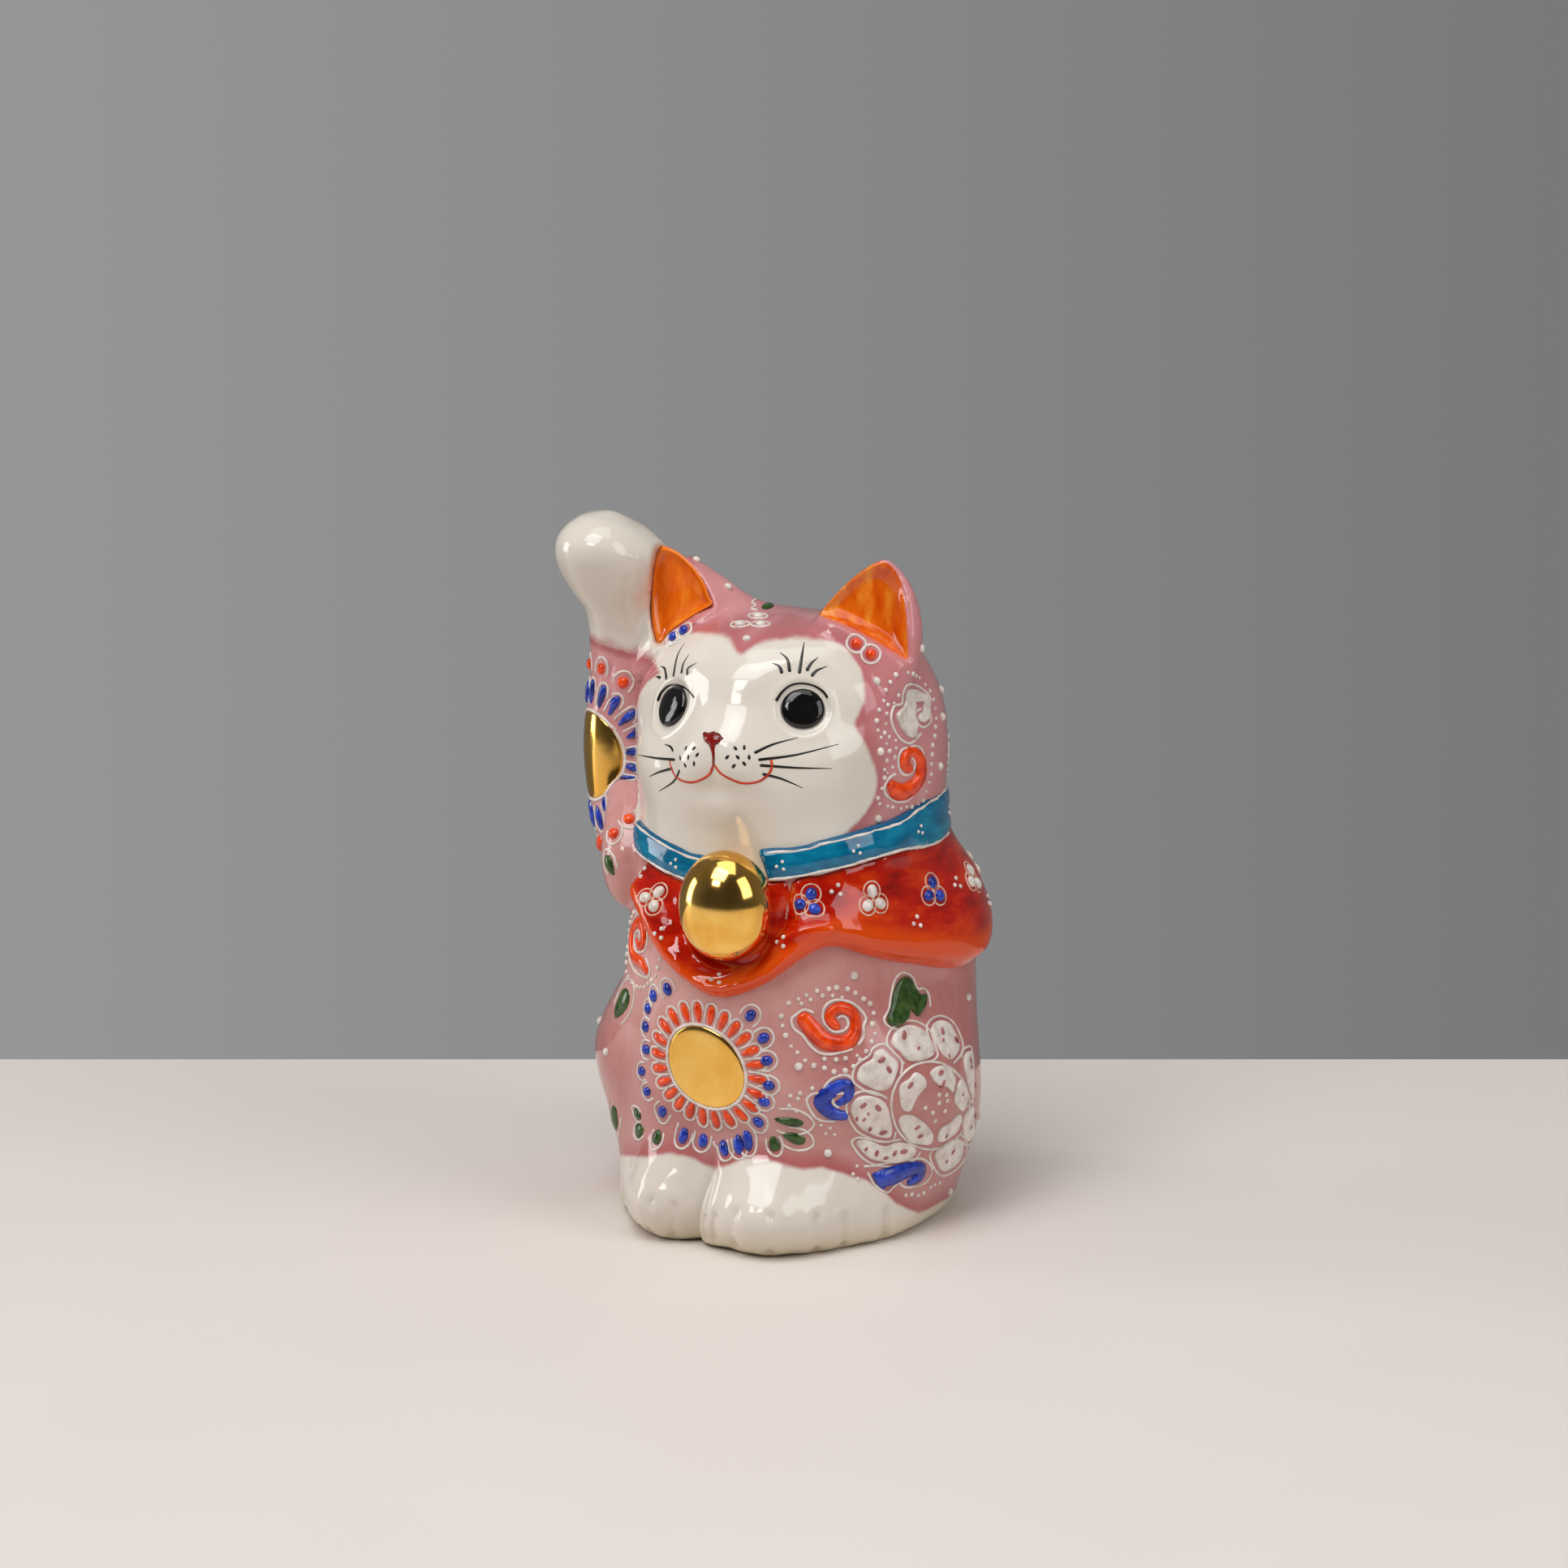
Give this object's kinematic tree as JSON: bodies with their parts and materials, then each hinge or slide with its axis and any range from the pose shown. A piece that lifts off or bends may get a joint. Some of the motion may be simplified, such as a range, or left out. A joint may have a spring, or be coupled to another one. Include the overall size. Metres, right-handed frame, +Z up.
{
  "type": "cat figurine",
  "caption": "Hollow glazed porcelain beckoning cat, seated with a forepaw raised, wearing a bib, collar and bell, with gilded suns and raised enamel flowers.",
  "frame": {"origin": "on the table under the middle of the base plate", "axes": "+Z up, -Y the way the face looks, +X the cat's left"},
  "size_m": [0.094, 0.0975, 0.1581],
  "materials": {
    "pink_glaze": "gloss",
    "ivory_glaze": "gloss",
    "bisque_porcelain": "matte",
    "vermilion_glaze": "gloss",
    "turquoise_enamel": "gloss",
    "gold_lustre": "polished",
    "black_enamel": "gloss",
    "red_enamel": "gloss",
    "cobalt_enamel": "gloss",
    "white_enamel": "gloss",
    "green_enamel": "gloss"
  },
  "bodies": {
    "root": {"torso_casting": "pink_glaze", "head_casting": "pink_glaze", "left_ear": "pink_glaze", "right_ear": "pink_glaze", "tail": "pink_glaze", "raised_foreleg": "ivory_glaze", "base_plate": "bisque_porcelain", "bib": "vermilion_glaze", "collar": "turquoise_enamel", "bell": "gold_lustre", "belly_sun": "gold_lustre", "foreleg_sun": "gold_lustre", "left_eye": "black_enamel", "right_eye": "black_enamel", "nose": "red_enamel", "belly_petals": "red_enamel", "foreleg_beads": "red_enamel", "red_scrolls": "red_enamel", "belly_beads": "cobalt_enamel", "foreleg_petals": "cobalt_enamel", "bib_blue_flowers": "cobalt_enamel", "blue_scrolls": "cobalt_enamel", "bib_white_flowers": "white_enamel", "peony": "white_enamel", "white_dots": "white_enamel", "green_leaves": "green_enamel"}
  },
  "joints": []
}
